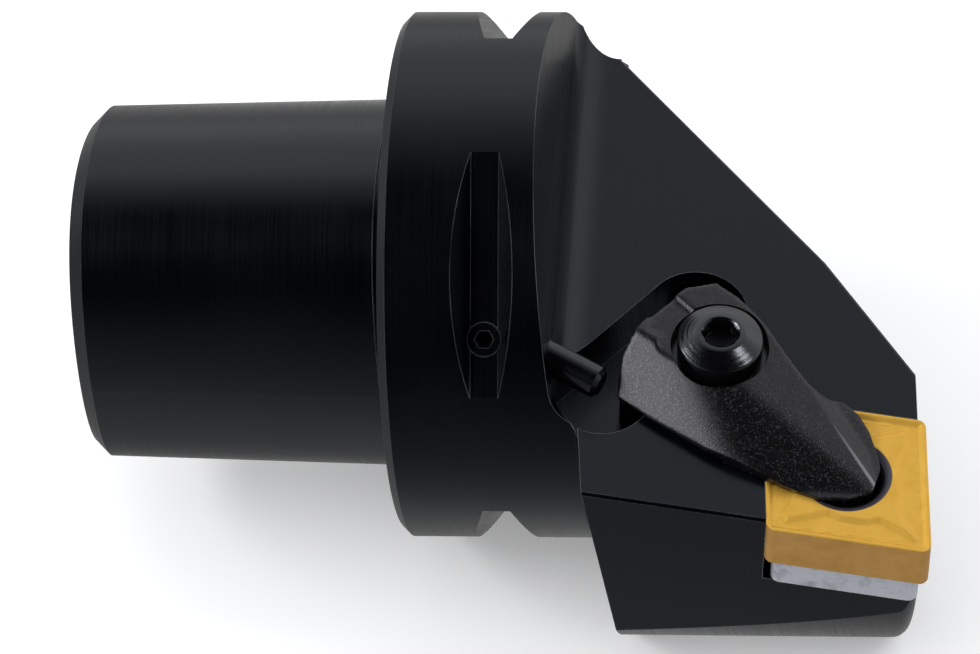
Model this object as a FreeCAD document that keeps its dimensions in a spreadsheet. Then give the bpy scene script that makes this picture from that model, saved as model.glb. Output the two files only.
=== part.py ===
import FreeCAD, Part
import math
import os

# External turning head with a polygonal taper shank, for one 80 degree rhombic insert.
# +X runs along the tool axis towards the cutting end, +Z is up, the cutting corner lies at -Y.
# The origin is the centre of the flange's contact face. Lengths are millimetres, angles degrees.

from FreeCAD import Placement, Rotation, Vector

doc = FreeCAD.newDocument("turning_tool_holder")
sheet = doc.addObject("Spreadsheet::Sheet", "sizes")

DIMENSIONS = (
    # Polygonal taper shank
    ("shank_mean_diameter", 44.0),
    ("shank_lobe_offset", 1.4),
    ("shank_length", 38.0),
    ("shank_taper_on_diameter", 0.05),
    ("shank_end_chamfer", 1.7),
    ("neck_length", 1.5),
    ("neck_depth", 0.35),
    # Bore of the shank, from its end inwards
    ("bore_diameter", 28.0),
    ("bore_depth", 30.0),
    ("bore_mouth_chamfer", 1.2),
    ("clamp_groove_diameter", 32.0),
    ("clamp_groove_start", 5.5),
    ("clamp_groove_width", 6.0),
    ("drawbar_lead_in", 1.0),
    ("drawbar_tap_diameter", 17.5),
    ("drawbar_thread_length", 20.0),
    # Flange and its gripper grooves
    ("flange_diameter", 63.0),
    ("flange_width", 23.7),
    ("flange_back_chamfer", 1.0),
    ("flange_front_chamfer", 0.8),
    ("contact_face_inner_diameter", 47.4),
    ("contact_face_relief", 0.3),
    ("groove_position", 12.37),
    ("groove_bottom_width", 3.27),
    ("groove_bottom_radius", 28.0),
    ("groove_flank_angle", 30.0),
    ("groove_first_angle", 45.0),
    # Head
    ("functional_length", 65.0),
    ("functional_width", 45.0),
    ("head_envelope_radius", 38.8),
    ("head_envelope_offset", 5.8),
    ("head_far_side", 25.2),
    ("head_corner_radius", 12.0),
    ("head_back_slant", 5.8),
    ("facet_long_angle", 132.6),
    ("facet_long_distance", 18.05),
    ("facet_short_angle", 126.5),
    ("facet_short_distance", 15.16),
    ("end_setback", 0.93),
    ("flank_setback", 1.17),
    ("end_corner_radius", 2.0),
    ("edge_chamfer", 0.35),
    ("wall_position", 20.9),
    ("wall_lean", 5.26),
    ("wall_fillet_radius", 5.0),
    ("far_side_fillet_radius", 4.5),
    # Insert
    ("insert_inscribed_circle", 19.05),
    ("insert_corner_angle", 80.0),
    ("insert_thickness", 6.35),
    ("insert_nose_radius", 1.2),
    ("insert_hole_diameter", 7.94),
    ("insert_tilt", 6.0),
    ("chip_groove_depth", 0.25),
    ("chip_groove_width", 2.6),
    ("chip_land_width", 0.35),
    # Shim and its screw
    ("shim_thickness", 4.76),
    ("shim_setback", 0.95),
    ("shim_hole_diameter", 6.4),
    ("shim_countersink_diameter", 9.6),
    ("shim_screw_diameter", 5.0),
    ("shim_screw_length", 13.0),
    ("shim_screw_head_diameter", 9.0),
    ("shim_screw_socket", 3.0),
    ("shim_screw_socket_depth", 1.8),
    ("shim_screw_end_chamfer", 0.5),
    ("seat_corner_relief", 1.6),
    # Clamp, its slot and its screw, placed from the centre of the insert's hole
    ("slot_width", 11.9),
    ("slot_distance", 28.85),
    ("slot_direction", 52.0),
    ("slot_near_end", 16.95),
    ("slot_far_end", 11.85),
    ("slot_depth", 6.5),
    ("clamp_screw_back", 15.93),
    ("clamp_screw_side", 13.0),
    ("clamp_land_height", 6.4),
    ("clamp_underside_gap", 0.9),
    ("clamp_seat_height", 3.2),
    ("clamp_counterbore_diameter", 11.6),
    ("clamp_hole_diameter", 6.6),
    ("clamp_nose_pin_diameter", 7.1),
    ("clamp_nose_pin_depth", 2.4),
    ("clamp_nose_gap", 0.06),
    ("clamp_heel_thickness", 3.0),
    ("clamp_heel_gap", 0.1),
    ("clamp_heel_back", 2.0),
    ("clamp_heel_near", 8.6),
    ("clamp_heel_far", 4.0),
    ("clamp_bearing_length", 11.5),
    ("clamp_nose_radius", 4.0),
    ("clamp_near_side_height", 4.9),
    ("clamp_near_side_slope", 23.8),
    ("clamp_top_height", 5.3),
    ("clamp_top_slope", 14.3),
    ("clamp_tail_height", 5.4),
    ("clamp_tail_slope", 39.8),
    ("clamp_nose_height", 3.5),
    ("clamp_nose_slope", 34.0),
    ("washer_diameter", 11.0),
    ("washer_thickness", 0.8),
    ("clamp_screw_diameter", 6.0),
    ("clamp_screw_length", 22.0),
    ("clamp_screw_tap_depth", 20.0),
    ("clamp_screw_head_diameter", 10.0),
    ("clamp_screw_head_height", 4.4),
    ("clamp_screw_cone_height", 1.25),
    ("clamp_screw_top_diameter", 5.8),
    ("clamp_screw_socket_diameter", 4.2),
    ("clamp_screw_socket_depth", 2.6),
    ("clamp_screw_socket_wave", 0.14),
    ("clamp_screw_end_chamfer", 0.8),
    # Lift spring
    ("spring_outer_diameter", 8.0),
    ("spring_wire_diameter", 0.7),
    ("spring_turns", 4.0),
    ("spring_well_diameter", 8.8),
    ("spring_well_depth", 7.0),
    # Coolant nozzle, where it leaves the wall, and the screw that holds it
    ("nozzle_exit_reach", 19.5),
    ("nozzle_exit_side", 24.0),
    ("nozzle_exit_height", 10.5),
    ("nozzle_diameter", 3.9),
    ("nozzle_bore", 1.8),
    ("nozzle_reach_share", 0.8),
    ("nozzle_seat_length", 12.0),
    ("nozzle_chamfer", 0.5),
    ("nozzle_screw_side", 7.5),
    ("nozzle_screw_diameter", 4.0),
    ("nozzle_screw_length", 2.6),
    ("nozzle_screw_socket_depth", 1.6),
    ("nozzle_back_gap", 0.2),
    ("coolant_channel_diameter", 4.0),
    ("coolant_source_back", 10.0),
    ("coolant_source_side", 9.0),
    # Shared by every fit and blind hole
    ("fit_gap", 0.05),
    ("hole_run_out", 3.0),
)

for row, (alias, value) in enumerate(DIMENSIONS, start=1):
    sheet.set("A%d" % row, alias)
    sheet.set("B%d" % row, str(value))
    sheet.setAlias("B%d" % row, alias)
doc.recompute()

HALF_TURN = 180.0


def size(alias):
    return float(sheet.get(alias))


def expression(text):
    """Turn plain aliases into references to the sheet."""
    words = text.replace("(", " ( ").replace(")", " ) ").split()
    known = {alias for alias, value in DIMENSIONS}
    return " ".join("sizes." + word if word in known else word for word in words)


def bound(kind, name, place, **lengths):
    """Add a primitive whose lengths are bound to cells of the sheet."""
    solid = doc.addObject("Part::" + kind, name)
    for key, text in lengths.items():
        solid.setExpression(key, expression(text))
    solid.Placement = place
    return solid


def cylinder(name, radius, height, place):
    return bound("Cylinder", name, place, Radius=radius, Height=height)


def cone(name, radius_low, radius_high, height, place):
    return bound("Cone", name, place, Radius1=radius_low, Radius2=radius_high, Height=height)


def fuse(name, *solids):
    joined = doc.addObject("Part::MultiFuse", name)
    joined.Shapes = list(solids)
    return joined


def common(name, *solids):
    shared = doc.addObject("Part::MultiCommon", name)
    shared.Shapes = list(solids)
    return shared


def cut(name, base, *tools):
    """Cut the tools from the base one after another."""
    for count, tool in enumerate(tools, start=1):
        step = doc.addObject("Part::Cut", name if count == len(tools) else "%s_step_%d" % (name, count))
        step.Base = base
        step.Tool = tool
        base = step
    return base


def rounded_outline(corners):
    """Edges of a closed outline; each corner is (x, y) or (x, y, radius)."""
    points = [Vector(corner[0], corner[1], 0) for corner in corners]
    radii = [corner[2] if len(corner) > 2 else 0.0 for corner in corners]
    count = len(points)
    starts = []
    ends = []
    arcs = []
    for i in range(count):
        here = points[i]
        before = (points[i - 1] - here).normalize()
        after = (points[(i + 1) % count] - here).normalize()
        if radii[i] <= 0.0:
            starts.append(here)
            ends.append(here)
            arcs.append(None)
            continue
        half = before.getAngle(after) / 2.0
        tangent = radii[i] / math.tan(half)
        towards = (before + after).normalize()
        middle = here + towards * (radii[i] / math.sin(half) - radii[i])
        starts.append(here + before * tangent)
        ends.append(here + after * tangent)
        arcs.append(middle)
    edges = []
    for i in range(count):
        if arcs[i] is not None:
            edges.append(Part.Arc(starts[i], arcs[i], ends[i]))
        following = starts[(i + 1) % count]
        if ends[i].distanceToPoint(following) > 1e-7:
            edges.append(Part.LineSegment(ends[i], following))
    return edges


def sketch(name, corners, place):
    drawing = doc.addObject("Sketcher::SketchObject", name)
    drawing.Placement = place
    drawing.addGeometry(rounded_outline(corners), False)
    return drawing


def extrude(name, corners, forward, backward, place):
    """Extrude an outline both ways along the normal of its plane."""
    solid = doc.addObject("Part::Extrusion", name)
    solid.Base = sketch(name + "_sketch", corners, place)
    solid.DirMode = "Normal"
    solid.setExpression("LengthFwd", expression(forward))
    solid.setExpression("LengthRev", expression(backward))
    solid.Solid = True
    return solid


def revolve(name, corners, place):
    """Turn an outline of (along, radius) corners about the first axis of its plane."""
    solid = doc.addObject("Part::Revolution", name)
    solid.Source = sketch(name + "_sketch", corners, place)
    solid.Axis = place.Rotation.multVec(Vector(1, 0, 0))
    solid.Base = place.Base
    solid.Angle = 360.0
    solid.Solid = True
    return solid


def edges_where(solid, test):
    """Numbers of the edges whose sampled points all pass a test."""
    doc.recompute()
    found = []
    for number, edge in enumerate(solid.Shape.Edges, start=1):
        first = edge.FirstParameter
        last = edge.LastParameter
        samples = [edge.valueAt(first + (last - first) * share) for share in (0.02, 0.35, 0.65, 0.98)]
        if all(test(point) for point in samples):
            found.append(number)
    return found


def dress(kind, name, base, edges, alias):
    """Chamfer or fillet the given edges by the size in one cell."""
    dressed = doc.addObject("Part::" + kind, name)
    dressed.Base = base
    dressed.Edges = [(number, size(alias), size(alias)) for number in edges]
    return dressed


# Frames: ALONG_X turns a primitive's own axis onto the tool axis
ALONG_X = Rotation(Vector(0, 0, 1), Vector(1, 0, 0))
PROFILE_XZ = Rotation(Vector(1, 0, 0), Vector(0, 0, 1), Vector(0, -1, 0), "XYZ")
PROFILE_YZ = Rotation(Vector(0, 1, 0), Vector(0, 0, 1), Vector(1, 0, 0), "XYZ")


def on_axis(x):
    return Placement(Vector(x, 0, 0), ALONG_X)


def insert_frame():
    """Frame at the centre of the insert's hole, on its upper face, w pointing out of that face."""
    slope = math.tan(math.radians(size("insert_tilt")))
    normal = Vector(slope, -slope, 1.0).normalize()
    half_angle = math.radians(size("insert_corner_angle")) / 2.0
    nose = size("insert_nose_radius")
    beyond_nose = (nose / math.sin(half_angle)) / math.sqrt(2.0)
    corner = Vector(
        size("functional_length") - nose + beyond_nose,
        -(size("functional_width") - nose + beyond_nose),
        0.0,
    )
    inward = Vector(-1.0, 1.0, (normal.x - normal.y) / normal.z).normalize()
    edge_length = size("insert_inscribed_circle") / math.sin(2.0 * half_angle)
    centre = corner + inward * (edge_length * math.cos(half_angle))
    across = Vector(0, 1, 0).cross(normal).normalize()
    along = normal.cross(across)
    return Placement(centre, Rotation(across, along, normal, "XYZ")), corner


SEAT, CUTTING_CORNER = insert_frame()
SEAT_NORMAL = SEAT.Rotation.multVec(Vector(0, 0, 1))


def seat(u, v, w, turn=0.0):
    """A place in the insert's frame, turned about the normal of its upper face."""
    return SEAT.multiply(Placement(Vector(u, v, w), Rotation(Vector(0, 0, 1), turn)))


def to_seat(point):
    return SEAT.inverse().multVec(point)


# Direction from the insert's cutting corner to its opposite corner, in the insert's frame
DIAGONAL = math.degrees(math.atan2(-to_seat(CUTTING_CORNER).y, -to_seat(CUTTING_CORNER).x))
HALF_CORNER = size("insert_corner_angle") / 2.0


def polar(distance, angle):
    return Vector(distance * math.cos(math.radians(angle)), distance * math.sin(math.radians(angle)), 0)


def rhombus(inset, radius):
    """Corners of the insert's outline drawn in by an inset, cutting corner first."""
    edge = (size("insert_inscribed_circle") - 2.0 * inset) / math.sin(math.radians(2.0 * HALF_CORNER))
    long_half = edge * math.cos(math.radians(HALF_CORNER))
    short_half = edge * math.sin(math.radians(HALF_CORNER))
    reaches = (long_half, short_half, long_half, short_half)
    corners = []
    for step, reach in enumerate(reaches):
        spot = polar(reach, DIAGONAL + 180.0 + 90.0 * step)
        corners.append((spot.x, spot.y, radius))
    return corners


def crossing(point_a, angle_a, point_b, angle_b):
    """Where two lines, each a point and a direction angle, meet."""
    direction_a = polar(1.0, angle_a)
    direction_b = polar(1.0, angle_b)
    gap = point_b - point_a
    run = (gap.x * direction_b.y - gap.y * direction_b.x) / (
        direction_a.x * direction_b.y - direction_a.y * direction_b.x
    )
    return point_a + direction_a * run


# Shank: a three-lobed taper, waisted where it meets the flange
def lobe_section(name, x, drawn_in):
    """Closed three-lobed curve across the shank, smaller by drawn_in all round."""
    radius = size("shank_mean_diameter") / 2.0 - size("shank_taper_on_diameter") / 2.0 * abs(x)
    offset = size("shank_lobe_offset")
    count = 48
    points = []
    for step in range(count):
        turn = 2.0 * math.pi * step / count
        across = (radius - drawn_in) * math.cos(turn) - offset * math.cos(2.0 * turn)
        up = (radius - drawn_in) * math.sin(turn) + offset * math.sin(2.0 * turn)
        # The curve as written has a flat side towards +Y; half a turn puts a lobe there
        points.append(Vector(x, -across, -up))
    curve = Part.BSplineCurve()
    curve.interpolate(points, PeriodicFlag=True)
    section = doc.addObject("Part::Feature", name)
    section.Shape = Part.Wire([curve.toShape()])
    return section


def lobe_loft(name, x_start, start_drawn_in, x_end, end_drawn_in):
    solid = doc.addObject("Part::Loft", name)
    solid.Sections = [
        lobe_section(name + "_start", x_start, start_drawn_in),
        lobe_section(name + "_end", x_end, end_drawn_in),
    ]
    solid.Solid = True
    solid.Ruled = True
    return solid


def make_shank():
    end = -size("shank_length")
    chamfer = size("shank_end_chamfer")
    neck = -size("neck_length")
    neck_depth = size("neck_depth")
    return fuse(
        "shank",
        lobe_loft("shank_taper", neck, 0.0, end + chamfer, 0.0),
        lobe_loft("shank_end", end + chamfer, 0.0, end, chamfer),
        lobe_loft("shank_neck", 1.0, neck_depth, neck, neck_depth),
    )


def make_flange():
    radius = size("flange_diameter") / 2.0
    width = size("flange_width")
    back = size("flange_back_chamfer")
    front = size("flange_front_chamfer")
    ring = size("contact_face_inner_diameter") / 2.0
    relief = size("contact_face_relief")
    return revolve(
        "flange",
        [
            (relief, 0.0),
            (relief, ring),
            (0.0, ring),
            (0.0, radius - back),
            (back, radius),
            (width - front, radius),
            (width, radius - front),
            (width, 0.0),
        ],
        Placement(Vector(0, 0, 0), PROFILE_XZ),
    )


def gripper_groove(number):
    """Straight V groove across the flange, at one of four places round it."""
    angle = size("groove_first_angle") + 90.0 * number
    outward = Vector(0, math.cos(math.radians(angle)), math.sin(math.radians(angle)))
    along = Vector(1, 0, 0)
    frame = Placement(Vector(0, 0, 0), Rotation(along, outward, along.cross(outward), "XYZ"))
    middle = size("groove_position")
    half = size("groove_bottom_width") / 2.0
    bottom = size("groove_bottom_radius")
    rise = size("flange_diameter") / 2.0 - bottom + 1.0
    spread = half + rise * math.tan(math.radians(size("groove_flank_angle")))
    corners = [
        (middle - half, bottom),
        (middle + half, bottom),
        (middle + spread, bottom + rise),
        (middle - spread, bottom + rise),
    ]
    return extrude("gripper_groove_%d" % number, corners, "flange_diameter / 2", "flange_diameter / 2", frame)


def plan_outline():
    """Outline of the head seen along the normal of the insert's upper face."""
    tip = to_seat(CUTTING_CORNER)
    end_angle = DIAGONAL - HALF_CORNER
    side_angle = DIAGONAL + HALF_CORNER
    end_point = tip - polar(size("end_setback"), end_angle + 90.0)
    side_point = tip + polar(size("flank_setback"), side_angle - 90.0)
    long_angle = size("facet_long_angle")
    short_angle = size("facet_short_angle")
    long_point = polar(size("facet_long_distance"), long_angle - 90.0)
    short_point = polar(size("facet_short_distance"), short_angle - 90.0)
    nose = crossing(side_point, side_angle, end_point, end_angle)
    end_top = crossing(end_point, end_angle, short_point, short_angle)
    facet_bend = crossing(short_point, short_angle, long_point, long_angle)
    inside = to_seat(Vector(size("flange_width") / 2.0, 0, 0))
    far = crossing(long_point, long_angle, inside, 90.0)
    near = crossing(side_point, side_angle, inside, 90.0)
    return [(p.x, p.y) for p in (nose, end_top, facet_bend, far, near)]


def head_barrel():
    """Turned barrel of the head, ended square to the insert's upper face with a rounded rim."""
    inside = size("flange_width") / 2.0
    barrel = cylinder(
        "head_barrel_turned",
        "head_envelope_radius",
        "functional_length + flange_width",
        Placement(Vector(inside, -size("head_envelope_offset"), 0), ALONG_X),
    )
    tip = to_seat(CUTTING_CORNER)
    end_angle = DIAGONAL - HALF_CORNER
    reach = 3.0 * size("head_envelope_radius")
    end_point = tip + polar(size("end_setback"), end_angle + 90.0) - polar(reach, end_angle)
    beyond = doc.addObject("Part::Box", "space_beyond_end")
    beyond.setExpression("Length", expression("head_envelope_radius * 6"))
    beyond.setExpression("Width", expression("functional_length"))
    beyond.setExpression("Height", expression("head_envelope_radius * 6"))
    corner = Placement(Vector(0, -size("functional_length"), -reach), Rotation())
    beyond.Placement = seat(end_point.x, end_point.y, 0.0, end_angle).multiply(corner)
    ended = cut("head_barrel_ended", barrel, beyond)

    def on_end_rim(point):
        local = to_seat(point) - tip
        return abs(local.dot(polar(1.0, end_angle + 90.0)) - size("end_setback")) < 1e-3

    return dress("Fillet", "head_barrel", ended, edges_where(ended, on_end_rim), "end_corner_radius")


def make_head():
    inside = size("flange_width") / 2.0
    left = -size("head_envelope_offset") - size("head_envelope_radius") - 1.0
    bottom = -size("flange_diameter") / 2.0
    top = size("head_envelope_radius")
    far = size("head_far_side")
    block = extrude(
        "head_block",
        [(left, bottom), (far, bottom, size("head_corner_radius")), (far, top), (left, top)],
        "functional_length + flange_width",
        "0",
        Placement(Vector(inside, 0, 0), PROFILE_YZ),
    )
    plan = extrude("head_plan", plan_outline(), "head_envelope_radius * 2", "head_envelope_radius * 3", SEAT)
    blank = common("head_blank", head_barrel(), block, plan)
    return cut("head", blank, space_behind_head())


def far_side_root():
    """Stock in front of the wall, beyond the head's far side, left for the fillet between them."""
    root = cylinder(
        "far_side_root",
        "flange_diameter / 2",
        "wall_position + far_side_fillet_radius - flange_width / 2",
        on_axis(size("flange_width") / 2.0),
    )
    root.Angle = HALF_TURN
    return root


def space_behind(name, point, slant):
    """Half space behind a plane that leans as the flange's wall does and slants across it."""
    behind = doc.addObject("Part::Box", name)
    behind.setExpression("Length", expression("flange_width * 2"))
    behind.setExpression("Width", expression("flange_diameter * 3"))
    behind.setExpression("Height", expression("flange_diameter * 2"))
    lean = Rotation(Vector(0, 1, 0), -size("wall_lean"))
    turn = Rotation(Vector(0, 0, 1), slant).multiply(lean)
    corner = Vector(-2.0 * size("flange_width"), -1.5 * size("flange_diameter"), -size("flange_diameter"))
    behind.Placement = Placement(point, turn).multiply(Placement(corner, Rotation()))
    return behind


def space_behind_head():
    """Space behind the head, outside the flange, so that the head overhangs only in front of it."""
    rim = size("flange_diameter") / 2.0 - size("flange_front_chamfer")
    near_rim = Vector(size("flange_width"), -rim, 0)
    wall_point = Vector(size("wall_position"), 0, 0)
    behind = fuse(
        "space_behind_planes",
        space_behind("space_behind_overhang", near_rim, size("head_back_slant")),
        space_behind("space_behind_wall", wall_point, 0.0),
    )
    core = cylinder(
        "flange_core",
        "flange_diameter / 2 - flange_front_chamfer",
        "flange_width * 2",
        Placement(Vector(0, 0, 0), ALONG_X),
    )
    return cut("space_behind_head", behind, core)


def wall_normal():
    lean = math.radians(size("wall_lean"))
    return Vector(math.cos(lean), 0, math.sin(lean))


def space_above_flat():
    """What the milling cutter takes away over the flat and in front of the flange's wall."""
    out = wall_normal()
    line = SEAT_NORMAL.cross(out).normalize()
    forward = line.cross(SEAT_NORMAL).normalize()
    wall_point = Vector(size("wall_position"), 0, 0)
    # Walk inside the wall's plane as far as the flat
    up_wall = out.cross(line).normalize()
    root = wall_point + up_wall * ((SEAT.Base - wall_point).dot(SEAT_NORMAL) / up_wall.dot(SEAT_NORMAL))
    height = size("flange_diameter")
    reach = size("functional_length")
    corners = [
        (0.0, 0.0, size("wall_fillet_radius")),
        (reach, 0.0),
        (reach, height),
        (height * up_wall.dot(forward), height * up_wall.dot(SEAT_NORMAL)),
    ]
    frame = Placement(root, Rotation(forward, SEAT_NORMAL, forward.cross(SEAT_NORMAL), "XYZ"))
    return extrude("space_above_flat", corners, "flange_diameter", "flange_diameter", frame)


def space_beyond_far_side():
    """What the cutter takes away beyond the head's far side, in line with the flange's wall."""
    out = wall_normal()
    sideways = Vector(0, 1, 0)
    reach = size("functional_length")
    corners = [
        (0.0, 0.0, size("far_side_fillet_radius")),
        (reach, 0.0),
        (reach, reach),
        (0.0, reach),
    ]
    root = Vector(size("wall_position"), size("head_far_side"), 0)
    frame = Placement(root, Rotation(sideways, out, sideways.cross(out), "XYZ"))
    return extrude("space_beyond_far_side", corners, "flange_diameter", "flange_diameter", frame)


def seat_pocket():
    """Corner pocket for the shim and the insert, open towards the end and the flank."""
    inner = rhombus(0.0, 0.0)
    deep = size("insert_thickness") + size("shim_thickness")
    reach = 2.0 * size("insert_inscribed_circle")
    side = polar(reach, DIAGONAL - HALF_CORNER + 180.0)
    end = polar(reach, DIAGONAL + HALF_CORNER + 180.0)
    back = Vector(inner[2][0], inner[2][1], 0)
    corners = [
        (back.x, back.y),
        (back.x + side.x, back.y + side.y),
        (back.x + side.x + end.x, back.y + side.y + end.y),
        (back.x + end.x, back.y + end.y),
    ]
    pocket = extrude("seat_pocket", corners, "insert_thickness + shim_thickness + 10", "0", seat(0, 0, -deep))
    relief = cylinder(
        "seat_relief",
        "seat_corner_relief",
        "insert_thickness + shim_thickness + 10",
        seat(back.x, back.y, -deep),
    )
    return pocket, relief


def slot_frame(turn=0.0):
    """Frame of the slot: its first axis runs along the slot, its second away from the insert."""
    return seat(0, 0, 0, size("slot_direction") + turn)


def clamp_slot():
    half = size("slot_width") / 2.0
    near = -size("slot_near_end")
    far = size("slot_far_end")
    middle = size("slot_distance")
    corners = [
        (near, middle - half, half * 0.999),
        (far, middle - half, half * 0.999),
        (far, middle + half, half * 0.999),
        (near, middle + half, half * 0.999),
    ]
    return extrude("clamp_slot", corners, "slot_width", "slot_depth", slot_frame())


def screw_place(height, turn=0.0):
    """A place on the clamp screw's axis at a height above the flat."""
    return seat(-size("clamp_screw_back"), size("clamp_screw_side"), height, turn)


def clamp_screw_hole():
    well = cylinder(
        "spring_well",
        "spring_well_diameter / 2",
        "spring_well_depth + slot_depth",
        screw_place(-size("spring_well_depth")),
    )
    tapped = cylinder(
        "clamp_screw_thread_hole",
        "clamp_screw_diameter / 2 + fit_gap",
        "clamp_screw_tap_depth + slot_depth",
        screw_place(-size("clamp_screw_tap_depth")),
    )
    return well, tapped


def seat_floor():
    return -(size("insert_thickness") + size("shim_thickness"))


def shim_screw_hole():
    depth = size("shim_screw_length") - size("shim_thickness") + size("hole_run_out")
    return cylinder(
        "shim_screw_thread_hole",
        "shim_screw_diameter / 2 + fit_gap",
        "shim_screw_length + hole_run_out",
        seat(0, 0, seat_floor() - depth),
    )


def shank_bore():
    """Bore, locking groove and drawbar thread, turned from the end of the shank."""
    start = -size("shank_length")
    bore = size("bore_diameter") / 2.0
    groove = size("clamp_groove_diameter") / 2.0
    tap = size("drawbar_tap_diameter") / 2.0
    mouth = size("bore_mouth_chamfer")
    groove_start = start + size("clamp_groove_start")
    groove_end = groove_start + size("clamp_groove_width")
    # The groove's walls slope at 60 degrees to the axis
    slope = (groove - bore) / math.tan(math.radians(60.0))
    floor = start + size("bore_depth")
    lead_in = size("drawbar_lead_in")
    bottom = floor + size("drawbar_thread_length")
    drill_point = tap / math.tan(math.radians(59.0))
    return revolve(
        "shank_bore",
        [
            (start - 1.0, 0.0),
            (start - 1.0, bore + mouth + 1.0),
            (start + mouth, bore),
            (groove_start, bore),
            (groove_start + slope, groove),
            (groove_end - slope, groove),
            (groove_end, bore),
            (floor, bore),
            (floor, tap + lead_in),
            (floor + lead_in, tap),
            (bottom, tap),
            (bottom + drill_point, 0.0),
        ],
        Placement(Vector(0, 0, 0), PROFILE_XZ),
    )


def facing(start, target):
    """A place at start whose own axis points at target."""
    return Placement(start, Rotation(Vector(0, 0, 1), target - start))


NOZZLE_EXIT = Vector(size("nozzle_exit_reach"), -size("nozzle_exit_side"), size("nozzle_exit_height"))
NOZZLE_AIM = (CUTTING_CORNER - NOZZLE_EXIT).normalize()
NOZZLE_BACK = NOZZLE_EXIT - NOZZLE_AIM * size("nozzle_seat_length")


def nozzle_free_length():
    """The nozzle stops part of the way from the wall to the tail of the clamp."""
    tail = clamp_outline()[0]
    tail_reach = SEAT.multVec(Vector(tail[0], tail[1], 0)).x - NOZZLE_EXIT.x
    return size("nozzle_reach_share") * tail_reach / NOZZLE_AIM.x


def nozzle_screw_frame():
    """Axis of the nozzle's set screw, square to the floor of the front gripper groove."""
    angle = math.radians(size("groove_first_angle") + 90.0)
    outward = Vector(0, math.cos(angle), math.sin(angle))
    along_groove = Vector(1, 0, 0).cross(outward)
    mouth = (
        Vector(size("groove_position"), 0, 0)
        + outward * size("groove_bottom_radius")
        + along_groove * size("nozzle_screw_side")
    )
    reach = (mouth.x - NOZZLE_EXIT.x) / NOZZLE_AIM.x
    on_nozzle = NOZZLE_EXIT + NOZZLE_AIM * reach
    depth = (mouth - on_nozzle).dot(outward)
    return Placement(mouth, Rotation(Vector(0, 0, 1), outward * -1.0)), depth


def coolant_way():
    """Seat of the nozzle and the channel that feeds it from the shank's bore."""
    seat_hole = cylinder(
        "nozzle_seat",
        "nozzle_diameter / 2 + fit_gap / 2",
        "nozzle_seat_length * 2",
        facing(NOZZLE_BACK, NOZZLE_EXIT),
    )
    source = Vector(-size("coolant_source_back"), -size("coolant_source_side"), 0.0)
    channel = doc.addObject("Part::Cylinder", "coolant_channel")
    channel.setExpression("Radius", expression("coolant_channel_diameter / 2"))
    channel.Height = (NOZZLE_BACK - source).Length + 1.0
    channel.Placement = facing(source, NOZZLE_BACK)
    place, depth = nozzle_screw_frame()
    screw_hole = doc.addObject("Part::Cylinder", "nozzle_screw_hole")
    screw_hole.setExpression("Radius", expression("nozzle_screw_diameter / 2 + fit_gap"))
    screw_hole.Height = depth + size("hole_run_out")
    screw_hole.Placement = place.multiply(Placement(Vector(0, 0, -size("hole_run_out")), Rotation()))
    return seat_hole, channel, screw_hole


def edge_breaks():
    """Narrow chamfers along the outline of the flat, from the flange round to the far side."""
    nose, end_top, facet_bend, far, near = [Vector(x, y, 0) for x, y in plan_outline()]
    facet = far - facet_bend
    far_side = Vector(0, (size("head_far_side") - SEAT.Base.y) / SEAT.Rotation.multVec(Vector(0, 1, 0)).y, 0)
    facet_finish = crossing(far_side, 0.0, facet_bend, math.degrees(math.atan2(facet.y, facet.x)))
    spots = [near, nose, end_top, facet_bend, facet_finish]
    width = size("edge_chamfer")
    breaks = []
    for number in range(4):
        finish = spots[number + 1]
        back = (spots[number] - finish).normalize()
        outward = Vector(0, 0, 1).cross(back)
        down_slope = (outward - Vector(0, 0, 1)).normalize()
        slope = Rotation(back, down_slope, back.cross(down_slope), "XYZ")
        wedge = doc.addObject("Part::Box", "edge_break_%d" % (number + 1))
        wedge.Length = (spots[number] - finish).Length
        wedge.setExpression("Width", expression("edge_chamfer * 6"))
        wedge.setExpression("Height", expression("edge_chamfer * 4"))
        corner = finish - outward * width - down_slope * (2.0 * width)
        wedge.Placement = SEAT.multiply(Placement(corner, slope))
        breaks.append(wedge)
    return breaks


def make_body():
    blank = fuse("body_blank", make_shank(), make_flange(), make_head(), far_side_root())
    milled = cut("body_milled", blank, space_above_flat())

    tools = [space_beyond_far_side()]
    tools += [gripper_groove(number) for number in range(4)]
    tools += list(seat_pocket())
    tools += [clamp_slot()]
    tools += list(clamp_screw_hole())
    tools += [shim_screw_hole(), shank_bore()]
    tools += list(coolant_way())
    tools += edge_breaks()
    return cut("holder_body", milled, *tools)


# Insert
def make_insert():
    nose = size("insert_nose_radius")
    plate = extrude("insert_plate", rhombus(0.0, nose), "0", "insert_thickness", SEAT)
    hole = cylinder(
        "insert_hole",
        "insert_hole_diameter / 2",
        "insert_thickness + 2",
        seat(0, 0, -size("insert_thickness") - 1.0),
    )
    land = size("chip_land_width")
    inner = land + size("chip_groove_width")
    grooves = []
    for face, level in (("upper", 0.0), ("lower", -size("insert_thickness"))):
        outer_solid = extrude(
            "chip_groove_outer_" + face, rhombus(land, nose - land), "chip_groove_depth", "chip_groove_depth",
            seat(0, 0, level),
        )
        inner_solid = extrude(
            "chip_groove_inner_" + face, rhombus(inner, nose), "1", "1", seat(0, 0, level)
        )
        grooves.append(cut("chip_groove_" + face, outer_solid, inner_solid))
    return cut("cutting_insert", plate, hole, *grooves)


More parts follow.
